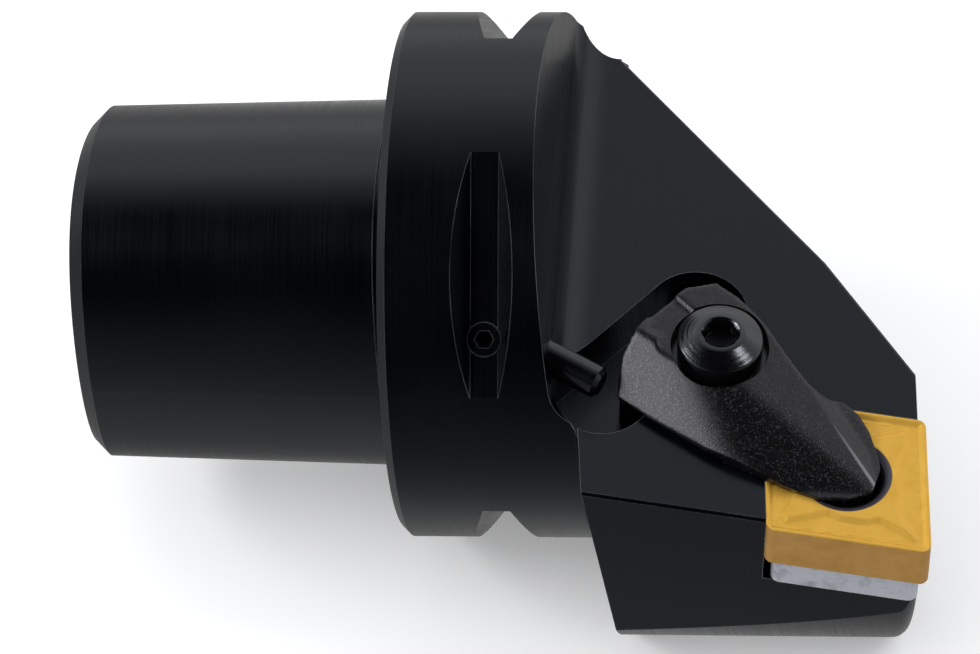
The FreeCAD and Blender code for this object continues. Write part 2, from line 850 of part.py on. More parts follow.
# Shim and its countersunk screw
def make_shim():
    top = -size("insert_thickness")
    radius = size("insert_nose_radius")
    plate = extrude(
        "shim_plate", rhombus(size("shim_setback"), radius), "0", "shim_thickness", seat(0, 0, top)
    )
    hole = cylinder("shim_hole", "shim_hole_diameter / 2", "shim_thickness + 2", seat(0, 0, seat_floor() - 1.0))
    sink = cone(
        "shim_countersink",
        "shim_hole_diameter / 2",
        "shim_countersink_diameter / 2",
        "(shim_countersink_diameter - shim_hole_diameter) / 2",
        seat(0, 0, top - (size("shim_countersink_diameter") - size("shim_hole_diameter")) / 2.0),
    )
    return cut("shim", plate, hole, sink)


def along_normal(base):
    """Place for a turned outline whose first axis is the normal of the insert's upper face."""
    across = SEAT.Rotation.multVec(Vector(1, 0, 0))
    along = SEAT.Rotation.multVec(Vector(0, 1, 0))
    return Placement(base, Rotation(SEAT_NORMAL, across, along, "XYZ"))


def hex_socket(name, across_flats, depth, place):
    socket = doc.addObject("Part::Prism", name)
    socket.Polygon = 6
    socket.Circumradius = across_flats / math.sqrt(3.0)
    socket.Height = depth + size("hole_run_out")
    socket.Placement = place
    return socket


def make_shim_screw():
    head = size("shim_screw_head_diameter") / 2.0
    shank = size("shim_screw_diameter") / 2.0
    # The head's cone lies on the countersink, so it starts below the shim's face
    sunk = size("shim_countersink_diameter") / 2.0 - head
    top = -size("insert_thickness") - sunk
    length = size("shim_screw_length")
    chamfer = size("shim_screw_end_chamfer")
    solid = revolve(
        "shim_screw_turned",
        [
            (0.0, 0.0),
            (0.0, head),
            (-(head - shank), shank),
            (-length + chamfer, shank),
            (-length, shank - chamfer),
            (-length, 0.0),
        ],
        along_normal(seat(0, 0, top).Base),
    )
    depth = size("shim_screw_socket_depth")
    socket = hex_socket("shim_screw_socket_cut", size("shim_screw_socket"), depth, seat(0, 0, top - depth))
    return cut("shim_screw", solid, socket)


# Clamp
def on_arm(back, side):
    """Point on the arm, in shares of the screw's distances from the centre of the insert's hole."""
    return Vector(-back * size("clamp_screw_back"), side * size("clamp_screw_side"), 0)


def sloping_space(name, point, height, slope, heading):
    """Space above a plane that passes a height over a point and falls away towards a heading."""
    lean = polar(math.sin(math.radians(slope)), heading)
    normal = Vector(lean.x, lean.y, math.cos(math.radians(slope)))
    space = doc.addObject("Part::Box", name)
    space.setExpression("Length", expression("slot_distance * 4"))
    space.setExpression("Width", expression("slot_distance * 4"))
    space.setExpression("Height", expression("slot_distance"))
    half = size("slot_distance") * 2.0
    tilted = Placement(point + Vector(0, 0, height), Rotation(Vector(0, 0, 1), normal))
    space.Placement = SEAT.multiply(tilted).multiply(Placement(Vector(-half, -half, 0), Rotation()))
    return space


def clamp_outline():
    """Plan of the clamp: tail, far side hugging the screw, rounded nose, near side."""
    spots = (
        # Tail
        (1.726, 0.608, 0.3),
        (1.714, 0.915, 0.6),
        # Far side, round the screw's head and in towards the nose
        (1.293, 1.608, 0.5),
        (1.067, 1.708, 0.75),
        (0.615, 1.254, 1.5),
        (0.213, 0.915, 1.5),
        # Nose, over the insert's hole
        (-0.100, 0.615, 0.9),
        (-0.239, 0.123, 1.0),
        (-0.188, -0.262, 0.75),
        (0.201, -0.323, 0.75),
        # Near side
        (0.628, -0.123, 2.0),
        (1.030, 0.077, 2.5),
    )
    outline = []
    for back, side, rounding in spots:
        spot = on_arm(back, side)
        outline.append((spot.x, spot.y, rounding * size("clamp_nose_radius")))
    return outline


def make_clamp():
    gap = size("clamp_nose_gap")
    arm = extrude("clamp_arm", clamp_outline(), "clamp_land_height - clamp_nose_gap", "0", seat(0, 0, gap))
    # Away from the insert the arm hangs clear of the flat
    hollow = doc.addObject("Part::Box", "space_under_arm")
    hollow.setExpression("Length", expression("slot_distance * 3"))
    hollow.setExpression("Width", expression("slot_distance * 2"))
    hollow.setExpression("Height", expression("clamp_underside_gap * 2"))
    hollow_corner = Vector(-1.5 * size("slot_distance"), size("clamp_bearing_length"), -size("clamp_underside_gap"))
    hollow.Placement = slot_frame().multiply(Placement(hollow_corner, Rotation()))
    slopes = (
        ("near_side", on_arm(0.458, 0.485), -87.8),
        ("top", on_arm(0.621, 0.908), -21.4),
        ("tail", on_arm(1.362, 0.769), -123.3),
        ("nose", on_arm(0.245, 0.585), 18.0),
    )
    spaces = []
    for face, point, heading in slopes:
        height = size("clamp_%s_height" % face)
        spaces.append(sloping_space("space_over_" + face, point, height, size("clamp_%s_slope" % face), heading))
    carved = cut("clamp_carved", arm, *spaces, hollow)
    middle = size("slot_distance") - size("clamp_heel_back")
    half = size("clamp_heel_thickness") / 2.0
    corner = half / 2.0
    heel = extrude(
        "clamp_heel",
        [
            (-size("clamp_heel_near"), middle - half, corner),
            (size("clamp_heel_far"), middle - half, corner),
            (size("clamp_heel_far"), middle + half, corner),
            (-size("clamp_heel_near"), middle + half, corner),
        ],
        "clamp_underside_gap * 2",
        "slot_depth - clamp_heel_gap",
        slot_frame(),
    )
    pin = cylinder(
        "clamp_nose_pin",
        "clamp_nose_pin_diameter / 2",
        "clamp_nose_pin_depth + clamp_nose_gap * 2",
        seat(0, 0, -size("clamp_nose_pin_depth")),
    )
    solid = fuse("clamp_solid", carved, heel, pin)
    bore = cylinder(
        "clamp_hole", "clamp_hole_diameter / 2", "clamp_land_height * 2", screw_place(-size("clamp_land_height"))
    )
    counterbore = cylinder(
        "clamp_counterbore",
        "clamp_counterbore_diameter / 2",
        "clamp_land_height",
        screw_place(size("clamp_seat_height")),
    )
    return cut("clamp", solid, bore, counterbore)


def make_clamp_washer():
    ring = cylinder(
        "washer_disc", "washer_diameter / 2", "washer_thickness", screw_place(size("clamp_seat_height"))
    )
    hole = cylinder(
        "washer_hole",
        "clamp_hole_diameter / 2",
        "clamp_seat_height + washer_thickness * 2",
        screw_place(0.0),
    )
    return cut("clamp_washer", ring, hole)


def lobed_socket(name, diameter, depth, place):
    """Six-lobed socket, its outline a cosine about a mean radius."""
    wave = diameter / 2.0 * size("clamp_screw_socket_wave")
    mean = diameter / 2.0 - wave
    count = 48
    points = []
    for step in range(count):
        turn = 360.0 * step / count
        points.append(polar(mean + wave * math.cos(math.radians(6.0 * turn)), turn))
    curve = Part.BSplineCurve()
    curve.interpolate(points, PeriodicFlag=True)
    outline = doc.addObject("Part::Feature", name + "_outline")
    outline.Shape = Part.Wire([curve.toShape()])
    outline.Placement = place
    solid = doc.addObject("Part::Extrusion", name)
    solid.Base = outline
    solid.DirMode = "Custom"
    solid.Dir = place.Rotation.multVec(Vector(0, 0, 1))
    solid.LengthFwd = depth + size("hole_run_out")
    solid.Solid = True
    return solid


def make_clamp_screw():
    under_head = size("clamp_seat_height") + size("washer_thickness")
    head = size("clamp_screw_head_diameter") / 2.0
    shank = size("clamp_screw_diameter") / 2.0
    top = size("clamp_screw_head_height")
    length = size("clamp_screw_length")
    chamfer = size("clamp_screw_end_chamfer")
    solid = revolve(
        "clamp_screw_turned",
        [
            (top, 0.0),
            (top, size("clamp_screw_top_diameter") / 2.0),
            (top - size("clamp_screw_cone_height"), head),
            (0.0, head),
            (0.0, shank),
            (-length + chamfer, shank),
            (-length, shank - chamfer),
            (-length, 0.0),
        ],
        along_normal(screw_place(under_head).Base),
    )
    depth = size("clamp_screw_socket_depth")
    socket = lobed_socket(
        "clamp_screw_socket", size("clamp_screw_socket_diameter"), depth, screw_place(under_head + top - depth)
    )
    return cut("clamp_screw", solid, socket)


# Lift spring
def make_lift_spring():
    """Coil made of half rings, tilted alternately so that they run on smoothly."""
    wire = size("spring_wire_diameter")
    low = wire / 2.0 - size("spring_well_depth")
    high = size("clamp_underside_gap") - wire / 2.0
    halves = int(round(2.0 * size("spring_turns")))
    rise = (high - low) / halves
    mean = (size("spring_outer_diameter") - wire) / 2.0
    tilt = math.degrees(math.atan2(rise / 2.0, mean))
    rings = []
    for step in range(halves):
        ring = doc.addObject("Part::Torus", "spring_half_turn_%d" % (step + 1))
        ring.Radius1 = math.hypot(mean, rise / 2.0)
        ring.setExpression("Radius2", expression("spring_wire_diameter / 2"))
        ring.Angle3 = 180.0
        lean = Placement(Vector(0, 0, 0), Rotation(Vector(0, 1, 0), tilt))
        ring.Placement = screw_place(low + rise * (step + 0.5), 180.0 * step).multiply(lean)
        rings.append(ring)
    return fuse("lift_spring", *rings)


# Coolant nozzle and its set screw
def make_nozzle():
    radius = size("nozzle_diameter") / 2.0
    bore = size("nozzle_bore") / 2.0
    length = size("nozzle_seat_length") + nozzle_free_length()
    chamfer = size("nozzle_chamfer")
    gap = size("nozzle_back_gap")
    side = NOZZLE_AIM.cross(Vector(0, 0, 1)).normalize()
    return revolve(
        "coolant_nozzle",
        [
            (gap, bore),
            (gap, radius),
            (length - chamfer, radius),
            (length, radius - chamfer),
            (length, bore),
        ],
        Placement(NOZZLE_BACK, Rotation(NOZZLE_AIM, side, NOZZLE_AIM.cross(side), "XYZ")),
    )


def make_nozzle_screw():
    place, depth = nozzle_screw_frame()
    slope = abs(place.Rotation.multVec(Vector(0, 0, 1)).dot(NOZZLE_AIM))
    # The flat tip meets the sloping nozzle at the rim of the tip
    rim_drop = slope * size("nozzle_screw_diameter") / 2.0
    tip = depth - size("nozzle_diameter") / 2.0 - rim_drop - size("fit_gap")
    outer_end = tip - size("nozzle_screw_length")
    body = cylinder(
        "nozzle_screw_thread",
        "nozzle_screw_diameter / 2",
        "nozzle_screw_length",
        place.multiply(Placement(Vector(0, 0, outer_end), Rotation())),
    )
    socket_depth = size("nozzle_screw_socket_depth")
    socket = hex_socket(
        "nozzle_screw_socket",
        size("nozzle_screw_diameter") / 2.0,
        socket_depth,
        place.multiply(Placement(Vector(0, 0, outer_end - size("hole_run_out")), Rotation())),
    )
    return cut("nozzle_set_screw", body, socket)


PIECES = {
    "holder_body": make_body(),
    "cutting_insert": make_insert(),
    "shim": make_shim(),
    "shim_screw": make_shim_screw(),
    "clamp": make_clamp(),
    "clamp_washer": make_clamp_washer(),
    "clamp_screw": make_clamp_screw(),
    "lift_spring": make_lift_spring(),
    "coolant_nozzle": make_nozzle(),
    "nozzle_set_screw": make_nozzle_screw(),
}

for label, piece in PIECES.items():
    piece.Label = label
doc.recompute()

for item in doc.Objects:
    if "Invalid" in item.State or "Error" in item.State:
        raise RuntimeError("%s could not be built" % item.Name)
for label, piece in PIECES.items():
    if piece.Shape.isNull() or not piece.Shape.isValid():
        raise RuntimeError("%s is not a valid solid" % label)

os.makedirs("parts", exist_ok=True)
for label, piece in PIECES.items():
    piece.Shape.exportStep("parts/%s.step" % label)
    print("%s: %d solid, %.1f mm3" % (label, len(piece.Shape.Solids), piece.Shape.Volume))
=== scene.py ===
import math

import bmesh
import bpy
from mathutils import Matrix, Vector


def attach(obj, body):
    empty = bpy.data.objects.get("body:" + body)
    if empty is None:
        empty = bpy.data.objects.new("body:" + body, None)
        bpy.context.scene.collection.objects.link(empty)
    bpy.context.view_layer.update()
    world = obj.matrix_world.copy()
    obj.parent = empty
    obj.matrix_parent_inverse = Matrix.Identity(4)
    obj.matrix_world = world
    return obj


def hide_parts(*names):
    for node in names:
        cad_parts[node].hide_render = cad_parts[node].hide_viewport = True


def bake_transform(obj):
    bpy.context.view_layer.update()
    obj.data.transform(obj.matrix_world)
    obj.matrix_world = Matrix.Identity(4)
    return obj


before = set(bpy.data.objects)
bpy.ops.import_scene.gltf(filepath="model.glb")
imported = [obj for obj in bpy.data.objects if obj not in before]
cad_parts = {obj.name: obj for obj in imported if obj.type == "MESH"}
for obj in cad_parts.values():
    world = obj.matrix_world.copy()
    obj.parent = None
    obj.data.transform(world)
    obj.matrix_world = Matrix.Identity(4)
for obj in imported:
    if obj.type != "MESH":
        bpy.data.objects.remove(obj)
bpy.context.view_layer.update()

MM = 0.001

# Camera, matched to the photograph: it looks down at the tool from its front side
CAMERA_PLACE = Vector((0.129598, -0.727820, 0.734091))
CAMERA_RIGHT = Vector((0.99334, 0.08449, -0.07833))
CAMERA_UP = Vector((-0.00552, 0.71397, 0.70015))
CAMERA_BACK = Vector((0.11508, -0.69506, 0.70969))
LENS = 318.34
FLOOR_HEIGHT = -0.0317

# Frame of the cutting insert: u and v in its upper face, w out of it, from the centre of its hole.
# The insert, the clamp, its screw and its spring are made in this frame, in millimetres.
SEAT_CENTRE = Vector((54.755, -34.755, 2.178)) * MM
SEAT_U = Vector((0.99452, 0.0, -0.10453))
SEAT_V = Vector((0.01087, 0.99458, 0.10339))
SEAT_W = Vector((0.10396, -0.10396, 0.98913))
SEAT_TURN = Matrix((SEAT_U, SEAT_V, SEAT_W)).transposed().to_4x4()
SEAT = Matrix.Translation(SEAT_CENTRE) @ SEAT_TURN @ Matrix.Scale(MM, 4)

SCREW_AXIS = Vector((-15.93, 13.0, 0.0))
WASHER_TOP = 4.0


# Meshes
def closed_object(name, shape):
    """Turns a bmesh of closed shells into an object, with its doubles merged and its faces outwards."""
    bmesh.ops.remove_doubles(shape, verts=shape.verts, dist=1e-7)
    bmesh.ops.recalc_face_normals(shape, faces=shape.faces)
    return plain_object(name, shape)


def plain_object(name, shape):
    mesh = bpy.data.meshes.new(name)
    shape.to_mesh(mesh)
    shape.free()
    made = bpy.data.objects.new(name, mesh)
    bpy.context.collection.objects.link(made)
    return made


def new_piece(name, shape, body, node):
    """Turns a bmesh in the insert's frame into a piece that rides on a body and stands for a CAD node."""
    bmesh.ops.transform(shape, matrix=SEAT, verts=shape.verts)
    piece = closed_object(name, shape)
    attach(piece, body)
    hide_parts(node)
    return piece


def smooth_below(piece, degrees):
    """Shades faces smooth, and keeps edges sharper than the angle crisp."""
    piece.data.shade_smooth()
    piece.data.set_sharp_from_angle(angle=math.radians(degrees))


def smoothstep(low, high, value):
    share = min(1.0, max(0.0, (value - low) / (high - low)))
    return share * share * (3.0 - 2.0 * share)


# Cutting insert
INSERT_CORNERS = ((10.536, -10.42), (8.747, 8.843), (-10.536, 10.42), (-8.747, -8.843))
INSERT_THICKNESS = 6.35
INSERT_HOLE_RADIUS = 3.97
COUNTERSINK_RADIUS = 5.3
NOSE_RADIUS = 1.2
# Corners that lie further from the hole than this are the sharp ones, of 80 degrees
SHARP_CORNER_REACH = 13.5
SIDE_CUTS = 71
FACE_RINGS = 46
# Radius and height of the steps from the countersink's rim down to the middle of the hole
HOLE_STEPS = (
    (4.7, -0.42), (4.5, -0.5), (INSERT_HOLE_RADIUS, -0.95), (INSERT_HOLE_RADIUS, -INSERT_THICKNESS / 2.0),
)

# Chip groove, from the inner edge of the rim's land to where its floor starts
LAND_WIDTH = 0.3
GROOVE_FLOOR_START = 1.0
GROOVE_DEPTH = 0.34
HONE_WIDTH = 0.12
HONE_DEPTH = 0.06
# Raised star: its edge has a bay on either side of the middle of each side
STAR_HEIGHT = 0.32
STAR_SLOPE = 0.75
STAR_CORNER_GAP = 2.5
BAY_START = 1.2
BAY_PLACE = 3.1
BAY_LENGTH = 4.8
BAY_INSET = 3.35
MIDDLE_INSET = 2.8
CORNER_RISE = 2.1
# Small bars that stand in the groove
BAR_STEPS = range(-2, 3)
BAR_SPACING = 2.55
BAR_INSET = 1.2
BAR_HEIGHT = 0.045
# Half width and half length of a bar, at its foot and at its top
BAR_HALF_WIDTHS = (0.22, 0.1)
BAR_HALF_LENGTHS = (0.6, 0.45)


def rounded_rhombus(shape):
    """Ring of edges along the insert's outline, its corners rounded and its sides cut up finely."""
    plate = bmesh.ops.create_grid(shape, x_segments=1, y_segments=1, size=1.0)["verts"]
    order = sorted(plate, key=lambda vert: math.atan2(vert.co.y, vert.co.x))
    corners = sorted(INSERT_CORNERS, key=lambda corner: math.atan2(corner[1], corner[0]))
    for vert, corner in zip(order, corners):
        vert.co = Vector((corner[0], corner[1], 0.0))
    sharp = [vert for vert in order if vert.co.length > SHARP_CORNER_REACH]
    blunt = [vert for vert in order if vert not in sharp]
    for verts, half_angle in ((sharp, 40.0), (blunt, 50.0)):
        bmesh.ops.bevel(
            shape, geom=verts, offset=NOSE_RADIUS / math.tan(math.radians(half_angle)),
            offset_type="OFFSET", segments=8, profile=0.5, affect="VERTICES", material=-1,
        )
    long_sides = [edge for edge in shape.edges if edge.calc_length() > 5.0]
    bmesh.ops.subdivide_edges(shape, edges=long_sides, cuts=SIDE_CUTS)
    ring = list(shape.edges)
    bmesh.ops.delete(shape, geom=list(shape.faces), context="FACES_ONLY")
    return ring


def side_distances(u, v):
    """For each side of the rhombus, how far inside it a point lies, and how far along it from its middle."""
    found = []
    for number in range(4):
        start = Vector(INSERT_CORNERS[number])
        side = Vector(INSERT_CORNERS[(number + 1) % 4]) - start
        along = side.normalized()
        inward = Vector((-along.y, along.x))
        gap = Vector((u, v)) - start
        found.append((gap.dot(inward), gap.dot(along) - side.length / 2.0))
    return found


def star_inset(along):
    """How far in the raised star starts: near the rim in the corners, drawn back twice along each side."""
    reach = abs(along)
    if reach > BAY_PLACE:
        return BAY_INSET - CORNER_RISE * min(1.0, (reach - BAY_PLACE) / BAY_LENGTH)
    return MIDDLE_INSET + (BAY_INSET - MIDDLE_INSET) * smoothstep(BAY_START, BAY_PLACE, reach)


def relief(u, v):
    """Height of the upper face: honed edge, land, chip groove, raised star and small bars."""
    spots = side_distances(u, v)
    nearest, along = min(spots)
    depth = GROOVE_DEPTH * smoothstep(LAND_WIDTH, GROOVE_FLOOR_START, nearest)
    rise = min(inside - star_inset(place) for inside, place in spots)
    corner_gap = min((Vector((u, v)) - Vector(corner)).length for corner in INSERT_CORNERS)
    rise = min(rise, corner_gap - STAR_CORNER_GAP)
    depth -= STAR_HEIGHT * min(1.0, max(0.0, rise / STAR_SLOPE))
    across = smoothstep(*BAR_HALF_WIDTHS, abs(nearest - BAR_INSET))
    for step in BAR_STEPS:
        depth -= BAR_HEIGHT * across * smoothstep(*BAR_HALF_LENGTHS, abs(along - BAR_SPACING * step))
    depth += HONE_DEPTH * (1.0 - smoothstep(0.0, HONE_WIDTH, nearest))
    return -depth


def nearer_hole(spot, rings_left):
    """Moves a point of the upper face one ring nearer to the countersink, onto the relief."""
    rim = spot.xy.normalized() * COUNTERSINK_RADIUS
    moved = spot.xy + (rim - spot.xy) / rings_left
    return Vector((moved.x, moved.y, relief(moved.x, moved.y)))


def next_ring(shape, edges, place):
    """Extrudes a closed ring of edges once, puts its new points in place and returns the new ring."""
    fresh = bmesh.ops.extrude_edge_only(shape, edges=edges)["geom"]
    verts = {part for part in fresh if isinstance(part, bmesh.types.BMVert)}
    for vert in verts:
        vert.co = place(vert.co)
    return [part for part in fresh if isinstance(part, bmesh.types.BMEdge) and verts.issuperset(part.verts)]


def make_insert():
    shape = bmesh.new()
    outline = rounded_rhombus(shape)
    for vert in shape.verts:
        vert.co.z = relief(vert.co.x, vert.co.y)
    # The upper face narrows from the outline to the countersink of the hole, ring by ring
    ring = outline
    for rings_left in range(FACE_RINGS, 0, -1):
        ring = next_ring(shape, ring, lambda spot: nearer_hole(spot, rings_left))
    for radius, level in HOLE_STEPS:
        height = Vector((0, 0, level))
        ring = next_ring(shape, ring, lambda spot: (spot.xy.normalized() * radius).to_3d() + height)
    # The side wall runs down to the middle, and the lower half is the upper one, flipped
    half = INSERT_THICKNESS / 2.0
    next_ring(shape, outline, lambda spot: Vector((spot.x, spot.y, -half)))
    upper = list(shape.verts) + list(shape.edges) + list(shape.faces)
    copied = bmesh.ops.duplicate(shape, geom=upper)["geom"]
    lower = [part for part in copied if isinstance(part, bmesh.types.BMVert)]
    bmesh.ops.scale(shape, vec=(1.0, 1.0, -1.0), space=Matrix.Translation((0, 0, half)), verts=lower)
    bmesh.ops.remove_doubles(shape, verts=shape.verts, dist=1e-4)
    piece = new_piece("coated_insert", shape, "holder", "cutting_insert")
    smooth_below(piece, 50.0)
    return piece


# Clamp
CLAMP_OUTLINE = (
    (-27.5, 7.9), (-27.3, 11.9), (-25.2, 15.5), (-20.6, 20.9), (-17.0, 22.0), (-14.4, 20.2),
    (-10.4, 16.2), (-7.4, 12.4), (-5.3, 10.1), (-3.3, 9.0), (-0.9, 9.1), (0.9, 7.9), (2.3, 5.9),
    (3.3, 3.2), (3.9, 0.8), (3.2, -2.6), (0.6, -3.9), (-3.2, -4.1), (-7.2, -2.9), (-10.0, -1.7),
    (-16.4, 1.0), (-23.0, 4.9),
)
CLAMP_TOP = 6.35
CLAMP_BOTTOM = 0.06
THINNEST = 0.6
CLAMP_VOXEL = 0.25
# Planes of the clamp's upper side: a point on each, and its normal
TAIL_SIDE = ((-21.7, 10.0, 5.4), (-0.351, -0.535, 0.768))
NEAR_SIDE = ((-7.3, 6.3, 4.9), (0.0155, -0.4037, 0.9148))
TOP_STRIP = ((-9.9, 11.8, 5.3), (0.23, -0.09, 0.966))
LEVEL_TOP = ((0.0, 0.0, CLAMP_TOP), (0.0, 0.0, 1.0))
FAR_FACET = ((-3.9, 7.6, 3.6), (0.532, 0.173, 0.829))
# Two points of the ridge between the strip and the far facet
RIDGE = ((-3.3, 6.9, 3.75), (3.3, -1.6, 1.1))
# Milled land at the screw: it ends in a stepped edge at the tail, and at a slanting line on the far side
LAND_LEVEL = 5.85
LAND_EDGE_WIDTH = 0.35
LAND_TAIL = -21.3
# How far the edge at the tail steps back, and between which places across the clamp
LAND_TAIL_STEPS = ((1.9, 9.6, 12.2), (1.5, 13.6, 14.5))
LAND_FAR_POINT = Vector((-21.1, 19.3))
LAND_FAR_NORMAL = Vector((0.677, 0.736))

# The slot's frame: first axis along the slot behind the clamp, second away from the insert
SLOT_TURN = Matrix.Rotation(math.radians(52.0), 4, "Z")
HOLLOW_SIZE = (80.0, 40.0, 1.8)
HOLLOW_PLACE = (0.0, 31.5, 0.0)
HEEL_SIZE = (12.6, 3.0, 8.2)
HEEL_PLACE = (-2.3, 26.85, -2.3)
HEEL_ROUNDING = 0.9
NOSE_PIN_RADIUS = 3.55
NOSE_PIN_END = -2.4
SCREW_HOLE_RADIUS = 3.3
COUNTERBORE_RADIUS = 5.8
COUNTERBORE_FLOOR = 3.2
BELOW_CLAMP = -8.0
ABOVE_CLAMP = 10.0


def plane_level(plane, u, v):
    (across, along, level), normal = plane
    return level - (normal[0] * (u - across) + normal[1] * (v - along)) / normal[2]


def soft_lower(first, second, softness):
    """The lower of two heights, with a rounded change from one to the other."""
    gap = max(-20.0, min(20.0, (first - second) / softness))
    return first - softness * math.log(1.0 + math.exp(gap))


def crown_height(u, v):
    """Height of the clamp's upper side: forged slopes that run into each other, and a milled land."""
    level = plane_level(TAIL_SIDE, u, v)
    for plane, softness in ((NEAR_SIDE, 0.6), (TOP_STRIP, 0.22), (LEVEL_TOP, 0.12), (FAR_FACET, 0.05)):
        level = soft_lower(level, plane_level(plane, u, v), softness)
    tail = LAND_TAIL - sum(back * smoothstep(start, end, v) for back, start, end in LAND_TAIL_STEPS)
    beyond = (Vector((u, v)) - LAND_FAR_POINT).dot(LAND_FAR_NORMAL)
    on_land = smoothstep(0.0, LAND_EDGE_WIDTH, u - tail) * smoothstep(0.0, LAND_EDGE_WIDTH, -beyond)
    return max(THINNEST, level + (min(level, LAND_LEVEL) - level) * on_land)


def settled_mesh(piece):
    """Applies a piece's modifiers to its own mesh."""
    graph = bpy.context.evaluated_depsgraph_get()
    mesh = bpy.data.meshes.new_from_object(piece.evaluated_get(graph))
    piece.modifiers.clear()
    piece.data = mesh


def joined(base, other, operation):
    """Unites or cuts one solid with another, which is then removed."""
    step = base.modifiers.new("joined", "BOOLEAN")
    step.operation = operation
    step.solver = "EXACT"
    step.object = other
    settled_mesh(base)
    bpy.data.objects.remove(other)


def upright_drum(name, centre, radius, low, high, segments):
    shape = bmesh.new()
    bmesh.ops.create_cone(
        shape, cap_ends=True, segments=segments, radius1=radius, radius2=radius, depth=high - low,
        matrix=Matrix.Translation((centre[0], centre[1], (low + high) / 2.0)),
    )
    return closed_object(name, shape)


def slot_block(name, size, place, rounding=0.0):
    """Block in the slot's frame, with its upright edges rounded."""
    shape = bmesh.new()
    bmesh.ops.create_cube(shape, size=1.0)
    bmesh.ops.scale(shape, verts=shape.verts, vec=size)
    if rounding:
        upright = [edge for edge in shape.edges if abs(edge.verts[0].co.z - edge.verts[1].co.z) > 1.0]
        bmesh.ops.bevel(
            shape, geom=upright, offset=rounding, offset_type="OFFSET", segments=4,
            profile=0.5, affect="EDGES", material=-1,
        )
    bmesh.ops.translate(shape, verts=shape.verts, vec=place)
    bmesh.ops.transform(shape, matrix=SLOT_TURN, verts=shape.verts)
    return closed_object(name, shape)


def forged_blank():
    """The clamp's outline as a plate, cut up finely and pressed down to its crown."""
    shape = bmesh.new()
    face = shape.faces.new([shape.verts.new((u, v, CLAMP_BOTTOM)) for u, v in CLAMP_OUTLINE])
    raised = bmesh.ops.extrude_face_region(shape, geom=[face])["geom"]
    upper = [part for part in raised if isinstance(part, bmesh.types.BMVert)]
    full = CLAMP_TOP - CLAMP_BOTTOM
    bmesh.ops.translate(shape, verts=upper, vec=(0, 0, full))
    blank = closed_object("forged_clamp", shape)
    cut_up = blank.modifiers.new("cut_up", "REMESH")
    cut_up.mode = "VOXEL"
    cut_up.voxel_size = CLAMP_VOXEL
    settled_mesh(blank)
    for vert in blank.data.vertices:
        share = (vert.co.z - CLAMP_BOTTOM) / full
        vert.co.z = CLAMP_BOTTOM + share * (crown_height(vert.co.x, vert.co.y) - CLAMP_BOTTOM)
    softened = blank.modifiers.new("softened", "SMOOTH")
    softened.factor = 0.5
    softened.iterations = 5
    settled_mesh(blank)
    return blank


def make_clamp():
    clamp = forged_blank()
    joined(clamp, slot_block("hollow", HOLLOW_SIZE, HOLLOW_PLACE), "DIFFERENCE")
    joined(clamp, slot_block("heel", HEEL_SIZE, HEEL_PLACE, HEEL_ROUNDING), "UNION")
    joined(clamp, upright_drum("nose_pin", (0, 0), NOSE_PIN_RADIUS, NOSE_PIN_END, THINNEST, 96), "UNION")
    for name, radius, floor, segments in (
        ("screw_hole", SCREW_HOLE_RADIUS, BELOW_CLAMP, 64),
        ("counterbore", COUNTERBORE_RADIUS, COUNTERBORE_FLOOR, 128),
    ):
        joined(clamp, upright_drum(name, SCREW_AXIS, radius, floor, ABOVE_CLAMP, segments), "DIFFERENCE")
    shape = bmesh.new()
    shape.from_mesh(clamp.data)
    bpy.data.objects.remove(clamp)
    piece = new_piece("forged_clamp", shape, "clamp", "clamp")
    smooth_below(piece, 38.0)
    return piece


# Clamp screw, with heights from the seat of its head
SCREW_HEAD_HEIGHT = 4.4
SCREW_HEAD_RADIUS = 5.0
SCREW_RADIUS = 3.0
SCREW_END = -22.0
SOCKET_RADIUS = 2.1
SOCKET_FLOOR = 1.8
SOCKET_LOBE_DEPTH = 0.16


def make_clamp_screw():
    profile = (
        (0.0, SOCKET_FLOOR), (1.1, SOCKET_FLOOR + 0.15), (SOCKET_RADIUS, SOCKET_FLOOR + 0.4),
        (SOCKET_RADIUS, SCREW_HEAD_HEIGHT - 0.25), (2.3, SCREW_HEAD_HEIGHT), (2.8, SCREW_HEAD_HEIGHT),
        (3.0, 4.34), (4.9, 3.18), (SCREW_HEAD_RADIUS, 3.0), (SCREW_HEAD_RADIUS, 0.2), (4.85, 0.0),
        (SCREW_RADIUS, 0.0), (SCREW_RADIUS, SCREW_END + 0.8), (SCREW_RADIUS - 0.8, SCREW_END),
        (0.0, SCREW_END),
    )
    shape = bmesh.new()
    verts = [shape.verts.new((radius, 0, WASHER_TOP + height)) for radius, height in profile]
    for first, second in zip(verts, verts[1:]):
        shape.edges.new((first, second))
    bmesh.ops.spin(
        shape, geom=list(shape.verts) + list(shape.edges), cent=(0, 0, 0), axis=(0, 0, 1), dvec=(0, 0, 0),
        angle=math.tau, steps=96, use_merge=True, use_duplicate=False,
    )
    bmesh.ops.remove_doubles(shape, verts=shape.verts, dist=1e-4)
    # Six lobes in the wall of the socket
    for vert in shape.verts:
        radius = vert.co.xy.length
        if abs(radius - SOCKET_RADIUS) < 0.01:
            turn = math.atan2(vert.co.y, vert.co.x)
            radius -= SOCKET_LOBE_DEPTH * (1.0 - math.cos(6.0 * turn)) / 2.0
            vert.co.xy = vert.co.xy.normalized() * radius
    bmesh.ops.translate(shape, verts=shape.verts, vec=SCREW_AXIS)
    piece = new_piece("turned_clamp_screw", shape, "clamp_screw", "clamp_screw")
    smooth_below(piece, 28.0)
    return piece


# Lift spring
SPRING_RADIUS = 3.65
SPRING_TURNS = 4
STEPS_PER_TURN = 36
WIRE_RADIUS = 0.35
SPRING_LOW = WIRE_RADIUS - 7.0
SPRING_HIGH = 0.9 - WIRE_RADIUS


